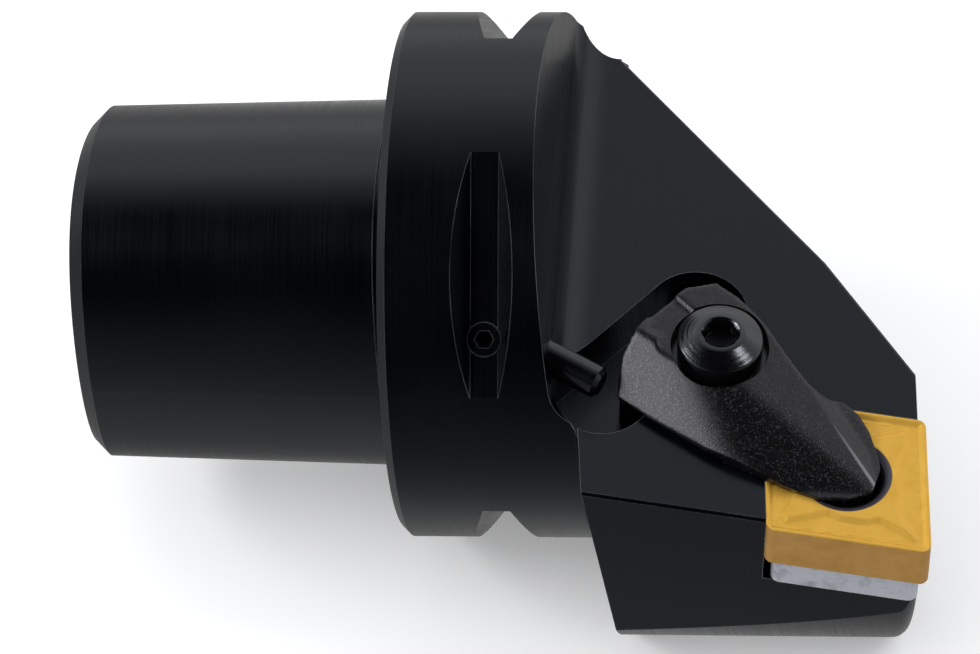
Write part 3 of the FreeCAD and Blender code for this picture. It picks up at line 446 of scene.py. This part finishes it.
def make_lift_spring():
    """Wound wire that stretches between the holder and the clamp."""
    shape = bmesh.new()
    ring = bmesh.ops.create_circle(
        shape, cap_ends=False, segments=12, radius=WIRE_RADIUS,
        matrix=Matrix.Translation((SPRING_RADIUS, 0, SPRING_LOW)) @ Matrix.Rotation(math.pi / 2.0, 4, "X"),
    )["verts"]
    ring_edges = list({edge for vert in ring for edge in vert.link_edges})
    steps = STEPS_PER_TURN * SPRING_TURNS
    bmesh.ops.spin(
        shape, geom=ring + ring_edges, cent=(0, 0, 0), axis=(0, 0, 1),
        dvec=(0, 0, (SPRING_HIGH - SPRING_LOW) / steps),
        angle=math.tau * SPRING_TURNS, steps=steps, use_merge=False, use_duplicate=False,
    )
    bmesh.ops.holes_fill(shape, edges=[edge for edge in shape.edges if edge.is_boundary])
    bmesh.ops.translate(shape, verts=shape.verts, vec=SCREW_AXIS)
    bmesh.ops.transform(shape, matrix=SEAT, verts=shape.verts)
    piece = closed_object("lift_spring_coil", shape)
    smooth_below(piece, 60.0)
    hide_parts("lift_spring")
    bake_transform(piece)
    return piece


# Finishes
class Finish:
    """A material with its nodes, links and shader at hand."""

    def __init__(self, name):
        self.material = bpy.data.materials.new(name)
        self.material.use_nodes = True
        self.nodes = self.material.node_tree.nodes
        self.links = self.material.node_tree.links
        self.shader = self.nodes["Principled BSDF"]
        self.place = self.nodes.new("ShaderNodeTexCoord").outputs["Object"]

    def set(self, **values):
        for key, value in values.items():
            self.shader.inputs[key.replace("_", " ")].default_value = value

    def join(self, output, socket):
        self.links.new(output, self.shader.inputs[socket])

    def stretched(self, scale):
        """Object coordinates with a scale of their own along each axis."""
        mapping = self.nodes.new("ShaderNodeMapping")
        mapping.inputs["Scale"].default_value = scale
        self.links.new(self.place, mapping.inputs["Vector"])
        return mapping.outputs["Vector"]

    def about(self, centre, axis=SEAT_W):
        """Distance in metres from the line through a point along an axis."""
        local = self.nodes.new("ShaderNodeMapping")
        local.vector_type = "TEXTURE"
        local.inputs["Location"].default_value = centre
        local.inputs["Rotation"].default_value = axis.to_track_quat("Z", "Y").to_euler()
        self.links.new(self.place, local.inputs["Vector"])
        flat = self.nodes.new("ShaderNodeVectorMath")
        flat.operation = "MULTIPLY"
        flat.inputs[1].default_value = (1.0, 1.0, 0.0)
        self.links.new(local.outputs["Vector"], flat.inputs[0])
        span = self.nodes.new("ShaderNodeVectorMath")
        span.operation = "LENGTH"
        self.links.new(flat.outputs["Vector"], span.inputs[0])
        return span.outputs["Value"]

    def facing(self, low, high):
        """How nearly a face is level with the seat: 0 below the lower value, 1 above the upper."""
        lean = self.nodes.new("ShaderNodeVectorMath")
        lean.operation = "DOT_PRODUCT"
        lean.inputs[1].default_value = SEAT_W
        self.links.new(self.nodes.new("ShaderNodeNewGeometry").outputs["True Normal"], lean.inputs[0])
        return self.ranged(self.math("ABSOLUTE", lean.outputs["Value"], 0.0), low, high, 0.0, 1.0)

    def edges(self, radius):
        """Share of the edges' lighter colour, partly edge wear and partly painted highlight: 1 on the edges
        themselves, 0 further from them than the radius.
        """
        rounded = self.nodes.new("ShaderNodeBevel")
        rounded.samples = 6
        rounded.inputs["Radius"].default_value = radius
        lean = self.nodes.new("ShaderNodeVectorMath")
        lean.operation = "DOT_PRODUCT"
        self.links.new(rounded.outputs["Normal"], lean.inputs[0])
        self.links.new(self.nodes.new("ShaderNodeNewGeometry").outputs["Normal"], lean.inputs[1])
        return self.ranged(lean.outputs["Value"], 0.80, 0.97, 1.0, 0.0)

    def rings(self, distance, scale):
        """Noise that changes only with the distance from an axis, as turning leaves it."""
        node = self.nodes.new("ShaderNodeTexNoise")
        node.noise_dimensions = "1D"
        node.inputs["Scale"].default_value = scale
        node.inputs["Detail"].default_value = 3.0
        self.links.new(distance, node.inputs["W"])
        return node.outputs["Fac"]

    def noise(self, scale, detail, roughness, vector=None):
        node = self.nodes.new("ShaderNodeTexNoise")
        node.inputs["Scale"].default_value = scale
        node.inputs["Detail"].default_value = detail
        node.inputs["Roughness"].default_value = roughness
        self.links.new(vector or self.place, node.inputs["Vector"])
        return node.outputs["Fac"]

    def ranged(self, value, low, high, out_low, out_high):
        node = self.nodes.new("ShaderNodeMapRange")
        node.inputs["From Min"].default_value = low
        node.inputs["From Max"].default_value = high
        node.inputs["To Min"].default_value = out_low
        node.inputs["To Max"].default_value = out_high
        self.links.new(value, node.inputs["Value"])
        return node.outputs["Result"]

    def mixed(self, share, first, second):
        """Colour between two colours, each a constant or an output."""
        node = self.nodes.new("ShaderNodeMix")
        node.data_type = "RGBA"
        self.links.new(share, node.inputs["Factor"])
        for socket, value in ((node.inputs[6], first), (node.inputs[7], second)):
            if isinstance(value, tuple):
                socket.default_value = (*value, 1.0)
            else:
                self.links.new(value, socket)
        return node.outputs[2]

    def mottled(self, noise, first, second, low=0.3, high=0.7):
        """Two colours that a noise runs together."""
        return self.mixed(self.ranged(noise, low, high, 0.0, 1.0), first, second)

    def math(self, operation, first, second):
        node = self.nodes.new("ShaderNodeMath")
        node.operation = operation
        for socket, value in ((node.inputs[0], first), (node.inputs[1], second)):
            if isinstance(value, float):
                socket.default_value = value
            else:
                self.links.new(value, socket)
        return node.outputs[0]

    def bumped(self, height, distance, under=None):
        node = self.nodes.new("ShaderNodeBump")
        node.inputs["Distance"].default_value = distance
        node.inputs["Strength"].default_value = 1.0
        self.links.new(height, node.inputs["Height"])
        if under is not None:
            self.links.new(under, node.inputs["Normal"])
        return node.outputs["Normal"]


def blackened_steel():
    """Satin black oxide over turned and milled steel, with lighter edges that are partly worn and partly a
    painted highlight.
    """
    finish = Finish("blackened_steel")
    lines = finish.noise(1.0, 4.0, 0.65, finish.stretched((5200.0, 40.0, 40.0)))
    clouds = finish.noise(90.0, 3.0, 0.6)
    grain = finish.noise(1500.0, 2.0, 0.5)
    black = finish.mottled(clouds, (0.0002, 0.0005, 0.0018), (0.0007, 0.0012, 0.0028))
    # Lighter grey along the edges, concave ones too: partly edge wear, partly a painted highlight
    painted_highlight = finish.math("MULTIPLY", finish.edges(0.00016), finish.ranged(clouds, 0.35, 0.6, 0.3, 1.0))
    finish.join(finish.mixed(painted_highlight, black, (0.16, 0.165, 0.18)), "Base Color")
    turned = finish.ranged(lines, 0.3, 0.7, 0.19, 0.28)
    finish.join(finish.math("ADD", turned, finish.ranged(clouds, 0.3, 0.7, 0.0, 0.05)), "Roughness")
    finish.join(finish.bumped(grain, 0.0000025, finish.bumped(lines, 0.000004)), "Normal")
    finish.set(IOR=1.52, Specular_Tint=(0.80, 0.89, 1.0, 1.0))
    return finish.material


def forged_black():
    """Forged and blackened steel with a fine, glittering grain; its lighter dots are painted glints, and a
    highlight is painted along its ridge.
    """
    finish = Finish("forged_black")
    grain = finish.noise(5200.0, 3.0, 0.6)
    dents = finish.noise(900.0, 3.0, 0.6)
    grit = finish.nodes.new("ShaderNodeTexVoronoi")
    grit.inputs["Scale"].default_value = 6000.0
    finish.links.new(finish.place, grit.inputs["Vector"])
    chance = finish.nodes.new("ShaderNodeSeparateColor")
    finish.links.new(grit.outputs["Color"], chance.inputs["Color"])
    sparkle = finish.ranged(chance.outputs["Red"], 0.80, 0.97, 0.0, 1.0)
    # Lighter dots in the base colour are painted glints
    speckled = finish.mixed(sparkle, (0.0005, 0.0005, 0.0010), (0.020, 0.020, 0.025))
    # A highlight is painted along the forging's ridge in a lighter colour, and the land at the screw is
    # milled smooth
    ridge_start, ridge_end = (SEAT @ Vector(point) for point in RIDGE)
    ridge = finish.about(tuple(ridge_start), (ridge_end - ridge_start).normalized())
    painted_highlight = finish.ranged(ridge, 0.00010, 0.00045, 1.0, 0.0)
    finish.join(finish.mixed(painted_highlight, speckled, (0.34, 0.34, 0.37)), "Base Color")
    land = finish.facing(0.990, 0.998)
    rough = finish.ranged(grain, 0.35, 0.7, 0.38, 0.24)
    finish.join(finish.math("MAXIMUM", rough, finish.math("MULTIPLY", land, 0.3)), "Roughness")
    forged = finish.math("SUBTRACT", 1.0, land)
    normal = finish.bumped(finish.math("MULTIPLY", dents, forged), 0.000010)
    normal = finish.bumped(finish.math("MULTIPLY", grit.outputs["Distance"], forged), 0.000014, normal)
    finish.join(normal, "Normal")
    finish.set(IOR=1.7, Specular_Tint=(0.93, 0.93, 1.0, 1.0))
    return finish.material


def turned_black(name, roughness, shine, centre=None):
    """Blackened bar steel; where a centre is given, turned rings show about it and reflections inside the
    socket are turned down as painted shade.
    """
    finish = Finish(name)
    clouds = finish.noise(500.0, 3.0, 0.6)
    grain = finish.noise(4000.0, 2.0, 0.6)
    finish.join(finish.mottled(clouds, (0.0008, 0.0009, 0.0016), (0.0025, 0.0027, 0.0035)), "Base Color")
    finish.join(finish.ranged(grain, 0.3, 0.7, roughness - 0.05, roughness + 0.06), "Roughness")
    normal = finish.bumped(grain, 0.000006)
    if centre is not None:
        distance = finish.about(centre)
        normal = finish.bumped(finish.rings(distance, 3600.0), 0.000020, normal)
        # Reflections inside the socket are turned down: painted shade in the recess
        finish.join(finish.ranged(distance, 0.00205, 0.00215, 0.08, 0.5), "Specular IOR Level")
    finish.join(normal, "Normal")
    finish.set(IOR=shine, Specular_Tint=(0.9, 0.93, 1.0, 1.0))
    return finish.material


def gold_coating():
    """Gold-coloured coating over sintered carbide; the sides get a darker copy of the gold as painted shade,
    the hole's countersink is dark grey, and the bore is painted near black as shade.
    """
    finish = Finish("gold_coating")
    mottling = finish.noise(420.0, 4.0, 0.6)
    grain = finish.noise(6000.0, 2.0, 0.6)
    bright = finish.mottled(mottling, (0.76, 0.425, 0.052), (0.84, 0.49, 0.075))
    painted_shade_gold = finish.mottled(mottling, (0.52, 0.275, 0.065), (0.63, 0.35, 0.10))
    # Faces that turn away from the seat's normal take the darker copy: painted shade on the sides
    coated = finish.mixed(finish.facing(0.3, 0.6), painted_shade_gold, bright)
    distance = finish.about(tuple(SEAT_CENTRE))
    countersink = finish.ranged(distance, 0.00528, 0.00542, 0.0, 1.0)
    coated = finish.mixed(countersink, (0.075, 0.070, 0.090), coated)
    # Inside the hole the base colour is near black: painted shade in the bore
    painted_shade_bore = finish.ranged(distance, 0.00448, 0.00456, 0.0, 1.0)
    finish.join(finish.mixed(painted_shade_bore, (0.012, 0.011, 0.014), coated), "Base Color")
    finish.join(finish.ranged(grain, 0.3, 0.7, 0.36, 0.46), "Roughness")
    finish.join(finish.bumped(grain, 0.000004), "Normal")
    finish.set(Metallic=0.55)
    return finish.material


def ground_carbide():
    """Ground tungsten carbide with grey smears."""
    finish = Finish("ground_carbide")
    smears = finish.noise(520.0, 5.0, 0.62)
    lines = finish.noise(1.0, 3.0, 0.6, finish.stretched((300.0, 300.0, 6000.0)))
    finish.join(finish.mottled(smears, (0.56, 0.58, 0.63), (0.34, 0.36, 0.40), 0.5, 0.68), "Base Color")
    finish.join(finish.ranged(smears, 0.3, 0.7, 0.34, 0.46), "Roughness")
    finish.join(finish.bumped(lines, 0.000003), "Normal")
    finish.set(Metallic=0.5)
    return finish.material


def spring_wire():
    """Bare drawn wire."""
    finish = Finish("spring_wire")
    streaks = finish.noise(2500.0, 3.0, 0.6)
    finish.join(finish.mottled(streaks, (0.20, 0.20, 0.21), (0.34, 0.34, 0.35)), "Base Color")
    finish.join(finish.ranged(streaks, 0.3, 0.7, 0.26, 0.36), "Roughness")
    finish.join(finish.bumped(streaks, 0.000003), "Normal")
    finish.set(Metallic=1.0)
    return finish.material


def dressed(piece, material):
    piece.data.materials.clear()
    piece.data.materials.append(material)


# Studio
FRONT_DIRECTION = (0.11, -0.70, 0.705)
# Brightness from straight behind the object (0) to straight at the camera's side (1)
STUDIO_STEPS = (
    (0.03, 2.2), (0.06, 1.0), (0.10, 0.62), (0.33, 0.58), (0.50, 0.84),
    (0.64, 0.46), (0.76, 0.20), (0.85, 0.02), (0.90, 0.0),
)
SOFT_LIGHT = (0.93, 0.94, 0.97, 1.0)
LAMP_TARGET = Vector((0.02, 0, 0))


def place_camera():
    camera_data = bpy.data.cameras.new("camera")
    camera_data.lens = LENS
    camera_data.sensor_width = 36.0
    camera_data.clip_end = 10.0
    camera = bpy.data.objects.new("camera", camera_data)
    turn = Matrix((CAMERA_RIGHT, CAMERA_UP, CAMERA_BACK)).transposed().to_4x4()
    camera.matrix_world = Matrix.Translation(CAMERA_PLACE) @ turn
    bpy.context.collection.objects.link(camera)
    bpy.context.scene.camera = camera


def area_lamp(name, place, width, height, power):
    lamp_data = bpy.data.lights.new(name, "AREA")
    lamp_data.shape = "RECTANGLE"
    lamp_data.size = width
    lamp_data.size_y = height
    lamp_data.energy = power
    lamp = bpy.data.objects.new(name, lamp_data)
    turn = (LAMP_TARGET - Vector(place)).to_track_quat("-Z", "Y").to_matrix().to_4x4()
    lamp.matrix_world = Matrix.Translation(place) @ turn
    bpy.context.collection.objects.link(lamp)


def studio_brightness(nodes, links, direction):
    """Brightness of the studio by direction: bright behind the object, and dark at the camera's side."""
    lean = nodes.new("ShaderNodeVectorMath")
    lean.operation = "DOT_PRODUCT"
    lean.inputs[1].default_value = FRONT_DIRECTION
    links.new(direction, lean.inputs[0])
    share = nodes.new("ShaderNodeMapRange")
    share.inputs["From Min"].default_value = -1.0
    share.inputs["From Max"].default_value = 1.0
    links.new(lean.outputs["Value"], share.inputs["Value"])
    ramp = nodes.new("ShaderNodeValToRGB")
    elements = ramp.color_ramp.elements
    while len(elements) < len(STUDIO_STEPS):
        elements.new(0.5)
    for element, (position, level) in zip(elements, STUDIO_STEPS):
        element.position = position
        element.color = (level, level, level, 1.0)
    links.new(share.outputs["Result"], ramp.inputs["Fac"])
    return ramp.outputs["Color"]


def seen_directly(nodes, links, ray):
    """1 for what the camera sees straight or through a clear piece, and 0 for all other rays."""
    either = nodes.new("ShaderNodeMath")
    either.operation = "MAXIMUM"
    links.new(ray["Is Camera Ray"], either.inputs[0])
    links.new(ray["Is Transmission Ray"], either.inputs[1])
    return either.outputs[0]


def light_studio():
    area_lamp("left_softbox", (-0.70, -0.22, 0.66), 0.75, 0.25, 4.2)
    area_lamp("right_softbox", (0.66, -0.05, 0.76), 0.22, 0.3, 1.0)
    world = bpy.data.worlds.new("studio")
    bpy.context.scene.world = world
    world.use_nodes = True
    # Without this, the even light would reach glossy surfaces too, beside their own steps of brightness
    world.cycles.sampling_method = "NONE"
    nodes = world.node_tree.nodes
    links = world.node_tree.links
    ray = nodes.new("ShaderNodeLightPath").outputs
    direction = nodes.new("ShaderNodeTexCoord").outputs["Generated"]
    # Even light on the object, steps of brightness in its reflections, and white behind it
    soft = nodes.new("ShaderNodeMix")
    soft.data_type = "RGBA"
    soft.inputs[6].default_value = SOFT_LIGHT
    links.new(ray["Is Glossy Ray"], soft.inputs["Factor"])
    links.new(studio_brightness(nodes, links, direction), soft.inputs[7])
    white = nodes.new("ShaderNodeMix")
    white.data_type = "RGBA"
    white.inputs[7].default_value = (1.0, 1.0, 1.0, 1.0)
    links.new(seen_directly(nodes, links, ray), white.inputs["Factor"])
    links.new(soft.outputs[2], white.inputs[6])
    links.new(white.outputs[2], nodes["Background"].inputs["Color"])
    nodes["Background"].inputs["Strength"].default_value = 1.0


def white_floor():
    """White where the camera sees it, and as bright as the studio beyond it in reflections."""
    material = bpy.data.materials.new("white_floor")
    material.use_nodes = True
    nodes = material.node_tree.nodes
    links = material.node_tree.links
    shader = nodes["Principled BSDF"]
    shader.inputs["Base Color"].default_value = (0.82, 0.82, 0.82, 1.0)
    shader.inputs["Roughness"].default_value = 1.0
    shader.inputs["Specular IOR Level"].default_value = 0.0
    ray = nodes.new("ShaderNodeLightPath").outputs
    direction = nodes.new("ShaderNodeVectorMath")
    direction.operation = "NORMALIZE"
    links.new(nodes.new("ShaderNodeNewGeometry").outputs["Position"], direction.inputs[0])
    glow = nodes.new("ShaderNodeEmission")
    glow.inputs["Strength"].default_value = 0.5
    links.new(studio_brightness(nodes, links, direction.outputs["Vector"]), glow.inputs["Color"])
    lift = nodes.new("ShaderNodeMath")
    lift.operation = "MULTIPLY"
    lift.inputs[1].default_value = 0.25
    links.new(seen_directly(nodes, links, ray), lift.inputs[0])
    links.new(lift.outputs[0], shader.inputs["Emission Strength"])
    shader.inputs["Emission Color"].default_value = (1.0, 1.0, 1.0, 1.0)
    seen = nodes.new("ShaderNodeMixShader")
    links.new(ray["Is Glossy Ray"], seen.inputs["Fac"])
    links.new(shader.outputs["BSDF"], seen.inputs[1])
    links.new(glow.outputs["Emission"], seen.inputs[2])
    links.new(seen.outputs["Shader"], nodes["Material Output"].inputs["Surface"])
    return material


def lay_floor():
    shape = bmesh.new()
    bmesh.ops.create_grid(shape, x_segments=1, y_segments=1, size=4.0)
    bmesh.ops.translate(shape, verts=shape.verts, vec=(0, 0, FLOOR_HEIGHT))
    floor = plain_object("floor", shape)
    floor.data.materials.append(white_floor())


bpy.context.scene.view_settings.view_transform = "Standard"
place_camera()
light_studio()
lay_floor()

BLACK_STEEL = blackened_steel()
FORGED_BLACK = forged_black()
SCREW_BLACK = turned_black("screw_black", 0.26, 1.7)
CLAMP_SCREW_BLACK = turned_black("clamp_screw_black", 0.17, 1.9, tuple(SEAT @ SCREW_AXIS))
NOZZLE_BLACK = turned_black("nozzle_black", 0.16, 1.7)
GOLD = gold_coating()
CARBIDE = ground_carbide()
WIRE = spring_wire()

dressed(make_insert(), GOLD)
dressed(make_clamp(), FORGED_BLACK)
dressed(make_clamp_screw(), CLAMP_SCREW_BLACK)
dressed(make_lift_spring(), WIRE)

NODE_FINISHES = {
    "holder_body": BLACK_STEEL,
    "cutting_insert": GOLD,
    "shim": CARBIDE,
    "shim_screw": SCREW_BLACK,
    "clamp": FORGED_BLACK,
    "clamp_washer": SCREW_BLACK,
    "clamp_screw": CLAMP_SCREW_BLACK,
    "lift_spring": WIRE,
    "coolant_nozzle": NOZZLE_BLACK,
    "nozzle_set_screw": BLACK_STEEL,
}
for name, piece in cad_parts.items():
    for slot in piece.material_slots:
        slot.material = NODE_FINISHES[name]
